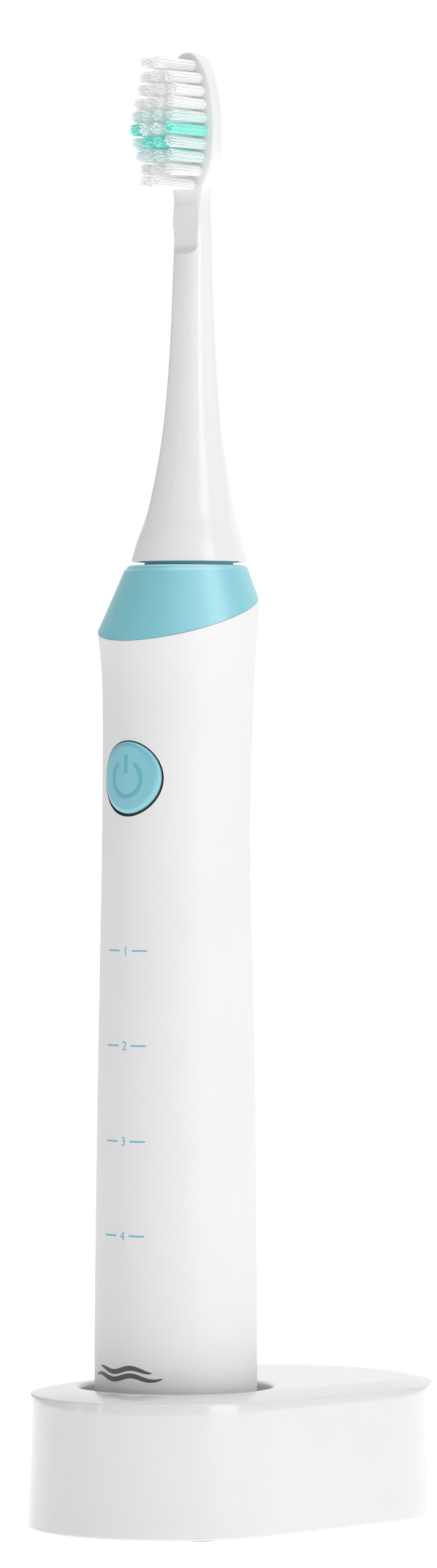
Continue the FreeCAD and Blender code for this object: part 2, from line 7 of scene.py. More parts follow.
import bpy
import numpy as np
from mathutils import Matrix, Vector


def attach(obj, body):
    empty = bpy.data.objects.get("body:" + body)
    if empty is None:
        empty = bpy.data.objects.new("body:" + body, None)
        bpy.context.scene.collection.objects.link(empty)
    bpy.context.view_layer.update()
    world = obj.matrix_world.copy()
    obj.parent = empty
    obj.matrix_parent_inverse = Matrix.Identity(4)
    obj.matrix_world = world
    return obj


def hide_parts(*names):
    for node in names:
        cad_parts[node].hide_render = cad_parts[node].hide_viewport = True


MM = 0.001
TAU = 2 * math.pi
rng = np.random.default_rng(11)
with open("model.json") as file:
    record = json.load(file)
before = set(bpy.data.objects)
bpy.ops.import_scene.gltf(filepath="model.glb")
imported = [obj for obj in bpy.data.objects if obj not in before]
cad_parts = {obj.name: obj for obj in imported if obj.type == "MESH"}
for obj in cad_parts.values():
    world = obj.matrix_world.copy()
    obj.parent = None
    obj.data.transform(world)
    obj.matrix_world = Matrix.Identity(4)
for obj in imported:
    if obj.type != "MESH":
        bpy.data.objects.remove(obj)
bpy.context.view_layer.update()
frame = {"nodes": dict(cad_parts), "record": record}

# ---------------------------------------------------------------- sizes in millimetres, mostly the CAD's
FRONT_R, REAR_R, SPACING = 24.1, 25.5, 29.5
FRONT_Y = -(FRONT_R + SPACING + REAR_R) / 2 + FRONT_R
REAR_Y = FRONT_Y + SPACING
HY = FRONT_Y + 1.2  # Y of the handle's axis
SHELL_Z, RIM_H, CROWN_H, CROWN_W, DRAFT, WALL = 0.6, 22.3, 1.0, 8.0, 0.7, 2.0
WELL_R, WELL_DEPTH = 16.1, 11.3
SEAT_Z = SHELL_Z + RIM_H + CROWN_H - WELL_DEPTH
DY = HY + 3.3  # Y of the drive's axis
# the handle's sections: height above its seat, radius, and offset of the centre in Y
SECTIONS = [
    (0.0, 13.5, 0.0), (18.0, 13.57, 0.0), (38.0, 13.42, 0.05), (58.0, 13.2, 0.15),
    (79.0, 12.8, 0.1), (99.0, 12.38, 0.02), (109.0, 12.3, 0.12), (119.7, 12.42, 0.42),
    (128.0, 12.62, 0.58), (134.0, 13.0, 0.5), (140.0, 13.55, 0.25), (147.0, 13.8, 0.05),
]
SEAM_H, SEAM_SLOPE, SEAM_HALF_GAP = 139.4, 0.325, 0.012
COLLAR_TOP_H, COLLAR_TOP_R, COLLAR_TOP_OFF = 147.95, 10.0, 2.7
BUTTON_Z, BUTTON_GAP = SEAT_Z + 112.6, 0.25
BUTTON_R = 6.05  # 6.10 in the CAD
HOLE_R = BUTTON_R + BUTTON_GAP
HOLE_SHIFT = 0.12  # the hole sits this far down and to +X of the button; centred in the CAD
SKIRT_Z = SEAT_Z + 148.5
MODE_HEIGHTS = (84.0, 68.3, 52.5, 36.9)
PRINT = 0.03  # how far the handle's marks stand off its surface; they have no CAD node


# ---------------------------------------------------------------- helpers
def hermite(xs, ys):
    """A monotone cubic through (xs, ys), as a function of an array."""
    xs, ys = np.asarray(xs, float), np.asarray(ys, float)
    h = np.diff(xs)
    d = np.diff(ys) / h
    m = np.zeros(len(xs))
    m[0], m[-1] = d[0], d[-1]
    for i in range(1, len(xs) - 1):
        if d[i - 1] * d[i] > 0:
            w1, w2 = 2 * h[i] + h[i - 1], h[i] + 2 * h[i - 1]
            m[i] = (w1 + w2) / (w1 / d[i - 1] + w2 / d[i])

    def f(x):
        x = np.clip(np.asarray(x, float), xs[0], xs[-1])
        i = np.clip(np.searchsorted(xs, x) - 1, 0, len(h) - 1)
        t = (x - xs[i]) / h[i]
        a = (1 + 2 * t) * (1 - t) ** 2 * ys[i] + t * (1 - t) ** 2 * h[i] * m[i]
        return a + t * t * (3 - 2 * t) * ys[i + 1] + t * t * (t - 1) * h[i] * m[i + 1]

    return f


def add_mesh(name, verts, faces, mat=None, body=None, slot=None, angle=40):
    """An object from millimetre vertices; with a body it rides on it. The slot argument is not used."""
    mesh = bpy.data.meshes.new(name)
    mesh.from_pydata([tuple(v) for v in np.asarray(verts, float) * MM], [], faces)
    mesh.validate()
    mesh.update()
    mesh.shade_smooth()
    mesh.set_sharp_from_angle(angle=math.radians(angle))
    obj = bpy.data.objects.new(name, mesh)
    bpy.context.scene.collection.objects.link(obj)
    if mat is not None:
        obj.data.materials.append(mat)
    if body:
        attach(obj, body)
    return obj


def rows_to_mesh(rows, close_rows=False, cap_first=False, cap_last=False):
    """Vertices and quads of a stack of closed loops, each an (n, 3) array."""
    rows = [np.asarray(r, float) for r in rows]
    n = len(rows[0])
    verts = list(np.concatenate(rows))
    faces = []
    count = len(rows)
    for j in range(count if close_rows else count - 1):
        a, b = j * n, ((j + 1) % count) * n
        for i in range(n):
            k = (i + 1) % n
            faces.append((a + i, a + k, b + k, b + i))
    for cap, j, flip in ((cap_first, 0, True), (cap_last, count - 1, False)):
        if cap:
            verts.append(rows[j].mean(0))
            c = len(verts) - 1
            for i in range(n):
                k = (i + 1) % n
                tri = (j * n + i, j * n + k, c)
                faces.append(tri[::-1] if flip else tri)
    return verts, faces


def ring(radius, c, s, y0, z):
    """A level circle about X = 0, Y = y0, from the cosines c and sines s of its points."""
    return np.c_[radius * c, y0 + radius * s, np.broadcast_to(z, len(c))]


def sweep(low, high, count):
    """(sine, cosine) of evenly spaced angles, in degrees."""
    for a in np.linspace(low, high, count):
        k = math.radians(a)
        yield math.sin(k), math.cos(k)


# ---------------------------------------------------------------- materials
GRAIN_DEPTH = 0.0002  # metres


def material(name, colour, rough, vary=0.04, grain=900.0, bump=0.02, rough_vary=0.06, blotch=60.0, **sockets):
    """Principled, with soft colour drift, uneven gloss and a fine moulded grain, all procedural."""
    mat = bpy.data.materials.new(name)
    mat.use_nodes = True
    nt = mat.node_tree
    bsdf = nt.nodes["Principled BSDF"]
    coord = nt.nodes.new("ShaderNodeTexCoord")
    soft = nt.nodes.new("ShaderNodeTexNoise")
    soft.inputs["Scale"].default_value = blotch
    soft.inputs["Detail"].default_value = 4.0
    fine = nt.nodes.new("ShaderNodeTexNoise")
    fine.inputs["Scale"].default_value = grain
    fine.inputs["Detail"].default_value = 3.0
    nt.links.new(coord.outputs["Object"], soft.inputs["Vector"])
    nt.links.new(coord.outputs["Object"], fine.inputs["Vector"])
    ramp = nt.nodes.new("ShaderNodeValToRGB")
    low = [max(0.0, c * (1 - vary)) for c in colour]
    high = [min(1.0, c * (1 + vary)) for c in colour]
    ramp.color_ramp.elements[0].position = 0.3
    ramp.color_ramp.elements[1].position = 0.7
    ramp.color_ramp.elements[0].color = (*low, 1)
    ramp.color_ramp.elements[1].color = (*high, 1)
    nt.links.new(soft.outputs["Fac"], ramp.inputs["Fac"])
    nt.links.new(ramp.outputs["Color"], bsdf.inputs["Base Color"])
    span = nt.nodes.new("ShaderNodeMapRange")
    span.inputs["To Min"].default_value = max(0.0, rough - rough_vary)
    span.inputs["To Max"].default_value = min(1.0, rough + rough_vary)
    nt.links.new(fine.outputs["Fac"], span.inputs["Value"])
    nt.links.new(span.outputs["Result"], bsdf.inputs["Roughness"])
    if bump > 0:
        grit = nt.nodes.new("ShaderNodeBump")
        grit.inputs["Strength"].default_value = bump
        grit.inputs["Distance"].default_value = GRAIN_DEPTH
        nt.links.new(fine.outputs["Fac"], grit.inputs["Height"])
        nt.links.new(grit.outputs["Normal"], bsdf.inputs["Normal"])
    for key, value in sockets.items():
        bsdf.inputs[key.replace("_", " ")].default_value = value
    return mat


WHITE = (1.0, 1.0, 1.0, 1.0)
EVEN = (1.0, 1.0, 1.0)  # the same scatter distance in red, green and blue
MATS = {
    "gloss_white": material("gloss_white", (0.72, 0.72, 0.72), 0.12, vary=0.012, bump=0.004, rough_vary=0.03,
                            Coat_Weight=0.5, Coat_Roughness=0.1),
    "satin_white": material("satin_white", (0.775, 0.775, 0.775), 0.45, vary=0.012, grain=2600, bump=0.03),
    # head_white's emission is painted light: the head glows faintly, which lightens its shaded sides and top
    "head_white": material("head_white", (0.735, 0.735, 0.735), 0.2, vary=0.012, bump=0.006, rough_vary=0.03,
                           Coat_Weight=0.15, Coat_Roughness=0.1, Specular_IOR_Level=0.4,
                           Emission_Color=WHITE, Emission_Strength=0.05),
    "aqua_satin": material("aqua_satin", (0.16, 0.575, 0.665), 0.46, vary=0.02, grain=2600, bump=0.03,
                           Specular_IOR_Level=1.0, Coat_Weight=1.0, Coat_Roughness=0.43, Coat_IOR=2.2),
    "aqua_rubber": material("aqua_rubber", (0.36, 0.76, 0.86), 0.5, vary=0.06, grain=1800, bump=0.06),
    # the nylons' emission is painted light: the tufts glow faintly, which lightens the shade between and inside
    # them
    "white_nylon": material("white_nylon", (0.73, 0.73, 0.735), 0.4, vary=0.05, grain=3000, bump=0.05,
                            Subsurface_Weight=0.6, Subsurface_Scale=0.001, Subsurface_Radius=EVEN,
                            Emission_Color=(0.95, 0.96, 0.965, 1.0), Emission_Strength=0.16),
    "teal_nylon": material("teal_nylon", (0.30, 0.84, 0.76), 0.4, vary=0.08, grain=3000, bump=0.05,
                           Subsurface_Weight=0.4, Subsurface_Scale=0.001, Subsurface_Radius=EVEN,
                           Emission_Color=(0.30, 0.88, 0.79, 1.0), Emission_Strength=0.1),
    "base_plastic": material("base_plastic", (0.66, 0.66, 0.66), 0.5, vary=0.05, bump=0.08),
    "chassis_plastic": material("chassis_plastic", (0.07, 0.075, 0.08), 0.5, vary=0.2, bump=0.08),
    "bobbin_nylon": material("bobbin_nylon", (0.62, 0.56, 0.44), 0.45, vary=0.08, bump=0.05),
    "grey_rubber": material("grey_rubber", (0.09, 0.093, 0.098), 0.7, vary=0.2, bump=0.12),
    "foam_pad": material("foam_pad", (0.02, 0.02, 0.022), 0.9, vary=0.4, grain=1500, bump=0.5),
    "steel": material("steel", (0.56, 0.56, 0.58), 0.26, vary=0.05, grain=1600, bump=0.01, Metallic=1.0),
    "nickel": material("nickel", (0.66, 0.63, 0.58), 0.2, vary=0.08, grain=1600, bump=0.03, Metallic=1.0),
    "brass": material("brass", (0.62, 0.42, 0.16), 0.38, vary=0.15, grain=1600, bump=0.08, Metallic=1.0),
    "copper": material("copper", (0.62, 0.25, 0.10), 0.32, vary=0.2, grain=2600, bump=0.25, Metallic=0.8),
    "ferrite": material("ferrite", (0.03, 0.03, 0.034), 0.6, vary=0.3, bump=0.2),
    "circuit_board": material("circuit_board", (0.015, 0.12, 0.05), 0.35, vary=0.25, bump=0.08),
    "black_component": material("black_component", (0.015, 0.015, 0.017), 0.45, vary=0.3, bump=0.1),
    "led_resin": material("led_resin", (0.80, 0.84, 0.82), 0.2, vary=0.04, bump=0.02, Transmission_Weight=0.4),
    "battery_wrap": material("battery_wrap", (0.03, 0.12, 0.36), 0.3, vary=0.15, bump=0.03),
}
# the button is the collar's aqua plastic (its slot is aqua_satin); this copy's darker base colour is painted
# shade
button_satin = material("button_satin", (0.135, 0.49, 0.58), 0.42, vary=0.02, grain=2600, bump=0.03,
                        Specular_IOR_Level=1.0, Coat_Weight=1.0, Coat_Roughness=0.38, Coat_IOR=1.7)
# its emission is painted light as well: the tinted tufts glow faintly, which lightens the shade between them
tinted_nylon = material("tinted_nylon", (0.65, 0.76, 0.75), 0.4, vary=0.05, grain=3000, bump=0.05,
                        Subsurface_Weight=0.6, Subsurface_Scale=0.001, Subsurface_Radius=EVEN,
                        Emission_Color=(0.84, 0.96, 0.95, 1.0), Emission_Strength=0.13)
ink_blue = material("ink_blue", (0.17, 0.50, 0.62), 0.45, vary=0.05, grain=3000, bump=0.02)
ink_symbol = material("ink_symbol", (0.12, 0.43, 0.52), 0.45, vary=0.05, grain=3000, bump=0.02)
ink_dark = material("ink_dark", (0.075, 0.08, 0.085), 0.4, vary=0.08, grain=3000, bump=0.02)

CAD_SHARP = 32  # degrees
slot_of = {s["node"]: s["material_slot"] for s in frame["record"]["subparts"]}
for node, obj in frame["nodes"].items():
    obj.data.materials.clear()
    obj.data.materials.append(MATS[slot_of[node]])
    obj.data.shade_smooth()
    obj.data.set_sharp_from_angle(angle=math.radians(CAD_SHARP))

# ---------------------------------------------------------------- handle housing
tube_r = hermite([s[0] for s in SECTIONS], [s[1] for s in SECTIONS])
tube_c = hermite([s[0] for s in SECTIONS], [s[2] for s in SECTIONS])
N = 256
theta = np.linspace(0, TAU, N, endpoint=False)
ct, st = np.cos(theta), np.sin(theta)


def tube_point(h, inset=0.0):
    """Points of the handle's outside at height h (one number or one per column), inset inwards."""
    h = np.broadcast_to(h, N)
    r, c = tube_r(h) - inset, tube_c(h)
    return np.c_[r * ct, HY + c + r * st, SEAT_Z + h]


def seam_height(drop):
    """The slanting seam's height at each column, lowered by drop, by 12 rounds of substitution."""
    h = np.full(N, SEAM_H)
    for _ in range(12):
        dy = tube_c(h) + tube_r(h) * st
        h = SEAM_H - drop + SEAM_SLOPE * dy
    return h


def surface_y(x, z):
    """The front surface's Y at X and Z."""
    h = np.asarray(z) - SEAT_Z
    return HY + tube_c(h) - np.sqrt(tube_r(h) ** 2 - np.asarray(x) ** 2)


def make_housing():
    foot_r, edge, wall, sharp = 1.2, 0.1, 1.8, 40
    below_seam = 1.55  # the foot's round and 0.35 mm under the seam, left out of the straight rows
    cut_from, cut_to = HY - 7.0, HY - 16.0
    top = seam_height(SEAM_HALF_GAP)
    rows = [
        tube_point(foot_r * (1 - math.cos(a)), foot_r * (1 - math.sin(a)))
        for a in np.linspace(0, math.pi / 2, 7)
    ]
    rows += [tube_point(foot_r + t * (top - below_seam)) for t in np.linspace(0.004, 1, 300)]
    for a in np.linspace(0.25, math.pi / 2, 5):
        rows.append(tube_point(top - edge + edge * math.sin(a), edge * (1 - math.cos(a))))
    rows.append(tube_point(top, wall))
    rows += [tube_point(t * top, wall) for t in np.linspace(0.98, 0.0, 40)]
    obj = add_mesh("handle_housing_skin", *rows_to_mesh(rows, close_rows=True))
    hole = [
        np.c_[HOLE_R * ct + HOLE_SHIFT, np.full(N, y), BUTTON_Z - HOLE_SHIFT + HOLE_R * st]
        for y in (cut_from, cut_to)
    ]
    cutter = add_mesh("cutter", *rows_to_mesh(hole, cap_first=True, cap_last=True))
    mod = obj.modifiers.new("hole", "BOOLEAN")
    mod.object = cutter
    mod.operation = "DIFFERENCE"
    mod.solver = "EXACT"
    deps = bpy.context.evaluated_depsgraph_get()
    done = bpy.data.meshes.new_from_object(obj.evaluated_get(deps))
    obj.modifiers.clear()
    obj.data = done
    bpy.data.objects.remove(cutter)
    done.materials.clear()
    done.materials.append(MATS["satin_white"])
    done.shade_smooth()
    done.set_sharp_from_angle(angle=math.radians(sharp))
    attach(obj, "handle")
    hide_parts("handle_housing")


make_housing()


# ---------------------------------------------------------------- collar
def make_collar():
    edge, edge_share = 0.75, 0.07  # radius of the top edge, and at most this share of the slope's height
    mouth_r, mouth_depth, seam_lip, inside = 5.25, 2.0, 2.0, 3.5
    low = tube_point(seam_height(-SEAM_HALF_GAP))
    top_z = SEAT_Z + COLLAR_TOP_H
    high = ring(COLLAR_TOP_R, ct, st, HY + COLLAR_TOP_OFF, top_z)
    outward = np.c_[ct, st, np.zeros(N)]
    rows = [low - outward * seam_lip, low - outward * 0.12, low - outward * 0.04 + [0, 0, 0.03]]
    rows += [low * (1 - t) + high * t for t in [0.02, *np.linspace(0.05, 0.93, 30)]]
    drop = np.minimum(edge, (high - low)[:, 2] * edge_share)
    for sin, cos in sweep(12, 90, 8):
        side = high - outward * edge * (1 - cos)
        side[:, 2] = top_z - (1 - sin) * drop
        rows.append(side)
    centre = np.array([0, DY, top_z])
    flat = rows[-1]
    mouth = centre + (flat - centre) / np.linalg.norm(flat - centre, axis=1)[:, None] * mouth_r
    rows += [flat * 0.5 + mouth * 0.5, mouth, mouth - [0, 0, mouth_depth], low - outward * inside]
    verts, faces = rows_to_mesh(rows, close_rows=True)
    obj = add_mesh("top_collar_skin", verts, faces, MATS["aqua_satin"], "handle", "aqua_satin", angle=50)
    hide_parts("top_collar")


make_collar()


# ---------------------------------------------------------------- button
FACE_R, FACE_Y = 12.65, HY + 0.15  # radius of the button's curved face, and Y of its axis


def button_y(x, z):
    """The button face's Y at X, the same at every Z, called like surface_y."""
    return FACE_Y - np.sqrt(FACE_R ** 2 - np.asarray(x) ** 2)


def make_button():
    edge, stem_r, cap_back, stem_back = 0.85, 4.6, HY - 7.2, HY - 9.6
    flat_r = BUTTON_R - edge
    outline = [(rho, 0.0) for rho in np.linspace(0.02, flat_r, 26)]
    outline += [(flat_r + edge * sin, edge * (1 - cos)) for sin, cos in sweep(15, 90, 7)]
    rows = []
    for rho, depth in outline:
        x, z = rho * ct, rho * st
        rows.append(np.c_[x, button_y(x, z) + depth, BUTTON_Z + z])
    for r, y in ((BUTTON_R, cap_back), (stem_r, cap_back), (stem_r, stem_back)):
        rows.append(np.c_[r * ct, np.full(N, y), BUTTON_Z + r * st])
    verts, faces = rows_to_mesh([r[::-1] for r in rows], cap_first=True, cap_last=True)
    obj = add_mesh("power_button_cap", verts, faces, button_satin, "button", "aqua_satin")
    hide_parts("power_button")


make_button()


def make_button_gap_shade():
    """A near-black ring in the gap round the button, painted shade that darkens the gap."""
    inner, outer = BUTTON_R + 0.03, HOLE_R + 0.02
    front, back = 0.14, 1.2  # depths under the handle's surface
    rows = []
    for r, shift, depth in (
        (inner, 0, back), (inner, 0, front), (outer, HOLE_SHIFT, front), (outer, HOLE_SHIFT, back),
    ):
        x, z = r * ct + shift, r * st - shift
        rows.append(np.c_[x, surface_y(x, BUTTON_Z + z) + depth, BUTTON_Z + z])
    verts, faces = rows_to_mesh([r[::-1] for r in rows], close_rows=True)
    add_mesh("button_gap_shade", verts, faces, MATS["foam_pad"], "handle", "grey_rubber")


make_button_gap_shade()


# ---------------------------------------------------------------- printed marks
def strip(points, width, surface, lift=PRINT, taper=False):
    """A thin printed stroke along (x, z) points, following the surface, its edges sunk into it."""
    sunk = 0.05
    across = (-0.5, -0.5, -0.25, 0.0, 0.25, 0.5, 0.5)
    points = np.asarray(points, float)
    tangent = np.gradient(points, axis=0)
    tangent /= np.linalg.norm(tangent, axis=1)[:, None]
    normal = np.c_[-tangent[:, 1], tangent[:, 0]]
    count, m = len(points), len(across)
    share = np.linspace(-1, 1, count)
    w = width * (np.sqrt(np.clip(1 - share ** 2, 0.02, 1)) if taper else np.ones(count))
    verts, faces = [], []
    for i in range(count):
        for k, s in enumerate(across):
            x, z = points[i] + normal[i] * w[i] * s
            depth = lift if 0 < k < m - 1 else -sunk
            verts.append((x, float(surface(x, z)) - depth, z))
    for i in range(count - 1):
        for k in range(m - 1):
            a = i * m + k
            faces.append((a, a + m, a + m + 1, a + 1))
    return verts, faces


def join(parts):
    """One (vertices, faces) pair from several."""
    verts, faces = [], []
    for v, f in parts:
        base = len(verts)
        verts += list(v)
        faces += [tuple(i + base for i in face) for face in f]
    return verts, faces


def make_symbol():
    gap, radius, width, lift, centre_z = math.radians(34), 2.95, 0.72, 0.02, BUTTON_Z - 0.15
    a = np.linspace(math.pi / 2 + gap, math.pi / 2 + TAU - gap, 90)
    arc = np.c_[radius * np.cos(a), centre_z + radius * np.sin(a)]
    bar = np.c_[np.zeros(12), centre_z + np.linspace(0.95, 3.95, 12)]
    parts = [strip(line, width, button_y, lift) for line in (arc, bar)]
    add_mesh("power_symbol", *join(parts), ink_symbol, "button", "aqua_satin")


make_symbol()


def digit_mesh(text, z0):
    """A numeral laid on the handle's front, centred on X = 0."""
    size, half_height = 2.15, 0.75
    curve = bpy.data.curves.new("digit", "FONT")
    curve.body = text
    curve.size = size
    curve.align_x = "CENTER"
    curve.fill_mode = "FRONT"
    obj = bpy.data.objects.new("digit", curve)
    bpy.context.scene.collection.objects.link(obj)
    deps = bpy.context.evaluated_depsgraph_get()
    mesh = bpy.data.meshes.new_from_object(obj.evaluated_get(deps))
    verts = []
    for v in mesh.vertices:
        x, z = v.co.x, z0 - half_height + v.co.y
        verts.append((x, float(surface_y(x, z)) - PRINT, z))
    faces = [tuple(p.vertices) for p in mesh.polygons]
    bpy.data.objects.remove(obj)
    return verts, faces


def make_labels():
    dash_from, dash_to, dash_width = 1.35, 4.2, 0.28
    parts = []
    for k, h in enumerate(MODE_HEIGHTS):
        z0 = SEAT_Z + h
        parts.append(digit_mesh(str(k + 1), z0))
        for side in (-1, 1):
            line = np.c_[side * np.linspace(dash_from, dash_to, 10), np.full(10, z0)]
            parts.append(strip(line, dash_width, surface_y))
    add_mesh("mode_marks", *join(parts), ink_blue, "handle", "satin_white")


make_labels()


def make_wave():
    """Two wavy lines low on the handle, one above the other."""
    radius, base_h, swell, width = 13.55, 13.5, 0.36, 0.85
    span, waves = 15.2, 2.0  # this many waves in this length
    parts = []
    for above, length in ((0.0, 15.2), (1.25, 11.5)):
        arc = np.linspace(-length / 2, length / 2, 90)
        x = radius * np.sin(arc / radius)
        z = SEAT_Z + base_h + above + swell * np.sin(arc / span * TAU * waves)
        parts.append(strip(np.c_[x, z], width, surface_y, taper=True))
    add_mesh("wave_mark", *join(parts), ink_dark, "handle", "satin_white")


make_wave()

# ---------------------------------------------------------------- brush head
# heights are above the skirt's foot, and Y is from the drive's axis
# the neck: height, half width, front Y, rear Y
NECK = [
    (0.0, 9.66, -9.66, 9.66), (3.8, 8.60, -8.45, 8.75), (7.9, 7.24, -6.85, 7.65), (12.0, 6.38, -5.75, 6.95),
    (16.1, 5.65, -4.85, 6.35), (20.2, 4.98, -4.15, 5.75), (24.2, 4.50, -3.60, 5.35), (32.4, 3.85, -2.85, 4.75),
    (40.5, 3.45, -2.30, 4.25), (48.7, 3.20, -1.90, 3.85), (56.9, 3.00, -1.45, 3.75), (64.0, 2.95, -0.75, 3.7),
]
# where the neck widens into the head: height, half width
FLARE = [
    (53.0, 3.065), (57.0, 3.0), (60.0, 3.03), (61.8, 3.25), (64.0, 4.25),
    (65.5, 4.95), (67.1, 5.42), (69.0, 5.7), (71.9, 5.8),
]
# from the bore's closed end, down to its mouth and out to the skirt's foot: radius, height
BORE = [(3.1, 20.4), (3.1, 8.8), (7.7, 1.2), (8.4, 1.2), (8.4, 0.0), (9.2, 0.0), (9.5, 0.08)]
HEAD_TOP, HEAD_LEN, HEAD_W, HEAD_T = 85.0, 26.2, 11.6, 3.9
FACE = -0.65  # Y of the face that holds the bristles
FACET_LOW, FACET_Y = 52.9, -0.80  # the flat below the bristles
SCOOP_R = 1.8  # radius of the step at the flat's lower end


def chord(r, d):
    """Half the chord of a circle of radius r, at distance d from its centre."""
    return math.sqrt(max(0.0, r ** 2 - d ** 2))


def make_head():
    neck_top, blend_from, blend_len, square_len = 54, 56, 5, 8
    dome, round_r, lip_r, scoop_len = 3, 2.0, 0.35, 3
    oval_power, split_share = 2.1, 0.4
    hs = [s[0] for s in NECK]
    f_flare = hermite(*zip(*FLARE))
    f_w, f_front, f_rear = (hermite(hs, [s[k] for s in NECK]) for k in (1, 2, 3))
    n = 200
    t = np.linspace(0, TAU, n, endpoint=False)
    c, s = np.cos(t), np.sin(t)
    mid = HEAD_TOP - HEAD_LEN / 2
    levels = np.concatenate([
        np.linspace(0.35, 50, 150), np.linspace(50.2, 54, 40), np.linspace(54.3, HEAD_TOP - dome, 110),
        HEAD_TOP - dome * (1 - np.sin(np.linspace(0.02, math.pi / 2 - 0.02, 26))),
    ])
    rows = [ring(r, c, s, DY, SKIRT_Z + h) for r, h in BORE]
    for h in levels:
        oval = HEAD_W / 2 * max(0.0, 1 - abs((h - mid) / (HEAD_LEN / 2)) ** oval_power) ** (1 / oval_power)
        half = float(f_w(h)) if h < neck_top else float(f_flare(h)) if h < mid else oval
        exp_rear = 2.0 + 0.6 * np.clip(h / blend_from, 0, 1)
        exp_front = exp_rear + np.clip((h - neck_top) / square_len, 0, 1) * 5
        share = np.clip((h - blend_from) / blend_len, 0, 1)
        share = share * share * (3 - 2 * share)
        front = float(f_front(h)) * (1 - share) + FACE * share
        rear = float(f_rear(h)) * (1 - share) + (FACE + HEAD_T) * share
        tip = HEAD_TOP - h
        if tip < round_r:
            rear = FACE + (HEAD_T - round_r) + chord(round_r, round_r - tip)
        if tip < lip_r:
            front = FACE + lip_r - chord(lip_r, lip_r - tip)
        split = front + split_share * (rear - front) if h > blend_from else (front + rear) / 2
        up, down = rear - split, split - front
        x = half * np.sign(c) * np.abs(c) ** (2 / np.where(s > 0, exp_rear, exp_front))
        y = np.where(
            s > 0, split + up * np.abs(s) ** (2 / exp_rear), split - down * np.abs(s) ** (2 / exp_front)
        )
        below = FACET_LOW - h
        if below < scoop_len:
            y = np.maximum(y, FACET_Y - (SCOOP_R - chord(SCOOP_R, min(SCOOP_R, max(0.0, below)))))
        rows.append(np.c_[x, DY + y, np.full(n, SKIRT_Z + h)])
    verts, faces = rows_to_mesh(rows, cap_first=True, cap_last=True)
    obj = add_mesh("brush_head_skin", verts, faces, MATS["head_white"], "brush_head", "head_white", angle=38)
    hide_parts("brush_head_body")


make_head()


# ---------------------------------------------------------------- bristles
WHITE_TUFT, TEAL_TUFT, TINTED_TUFT = 0, 1, 2
TUFT_R, FILAMENT_R, FILAMENTS = 0.83, 0.098, 50
GOLDEN_ANGLE = 2.39996


def tuft_spots():
    """(x, z, free length, kind) of each tuft."""
    rows, pitch, raised, margin = 10, 2.2, 0.9, 1.95
    mid_z = SKIRT_Z + HEAD_TOP - HEAD_LEN / 2 + raised
    for row in range(rows):
        dz = (rows - 1) / 2 * pitch - row * pitch
        span = HEAD_W / 2 * math.sqrt(1 - (2 * dz / HEAD_LEN) ** 2) - margin
        count = 2 if span < 2.2 else 3 if span < 3.0 else 4
        for col in range(count):
            x = (2 * col / (count - 1) - 1) * (span if count > 2 else 1.3)
            outer = col in (0, count - 1)
            free = 9.5 if count == 2 else max(7.8, 9.2 - 0.24 * abs(dz + pitch / 2)) + (0 if outer else 0.4)
            kind = WHITE_TUFT
            if (row == 5 and outer) or (row == 6 and not outer):
                kind = TEAL_TUFT
            elif row in (4, 5, 6, 7):
                kind = TINTED_TUFT
            yield x, mid_z + dz, free, kind


def filament(x, z, free, splay_x, splay_z):
    """One five-sided filament, from 0.5 mm inside the head to its narrowed tip."""
    sides = 5
    # distance from the head's face, and share of the full radius
    stations = (
        (0.5, 1.0), (0.0, 1.0), (-0.45 * free, 1.0), (-0.85 * free, 0.98), (-free + 0.12, 0.85), (-free, 0.35),
    )
    verts, faces = [], []
    turn = rng.uniform(0, TAU)
    for y, scale in stations:
        share = max(0.0, -y / free)
        bend = share * share
        px, pz = x + splay_x * bend, z + splay_z * bend
        r = FILAMENT_R * scale
        for k in range(sides):
            a = turn + TAU * k / sides
            verts.append((px + r * math.cos(a), DY + FACE + y, pz + r * math.sin(a)))
    for j in range(len(stations) - 1):
        for k in range(sides):
            a, b = j * sides + k, j * sides + (k + 1) % sides
            faces.append((a, b, b + sides, a + sides))
    last = (len(stations) - 1) * sides
    faces.append(tuple(last + k for k in range(sides)))
    return verts, faces


def make_bristles():
    jitter, splay, uneven = 0.07, 0.14, 0.5
    longer, dished = 0.25, 0.12  # added to every length, and taken off it at the tuft's rim
    groups = {WHITE_TUFT: [], TEAL_TUFT: [], TINTED_TUFT: []}
    for x, z, free, kind in tuft_spots():
        lean_x, lean_z = rng.normal(0, jitter, 2)
        for k in range(FILAMENTS):
            rho = TUFT_R * math.sqrt((k + 0.5) / FILAMENTS)
            a = k * GOLDEN_ANGLE + 0.3
            dx, dz = rho * math.cos(a), rho * math.sin(a)
            length = free + longer - abs(rng.normal(0, uneven)) - dished * (rho / TUFT_R) ** 2
            sx = lean_x + dx * splay + rng.normal(0, jitter)
            sz = lean_z + dz * splay + rng.normal(0, jitter)
            groups[kind].append(filament(x + dx, z + dz, length, sx, sz))
    for kind, name, mat, slot, cad in (
        (WHITE_TUFT, "white_nylon_filaments", MATS["white_nylon"], "white_nylon", "white_bristle_tufts"),
        (TEAL_TUFT, "teal_nylon_filaments", MATS["teal_nylon"], "teal_nylon", "teal_bristle_tufts"),
        (TINTED_TUFT, "tinted_nylon_filaments", tinted_nylon, "white_nylon", None),
    ):
        obj = add_mesh(name, *join(groups[kind]), mat, "brush_head", slot)
        if cad:
            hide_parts(cad)


make_bristles()


# ---------------------------------------------------------------- charger shell
# the post in the well: radius, height above the well's floor
POST = [(5.6, 0.0), (4.85, 0.3), (4.8, 1.0), (4.8, 7.3), (4.6, 7.8), (4.1, 8.0), (0.5, 8.0)]
AROUND = 360  # columns round the charger


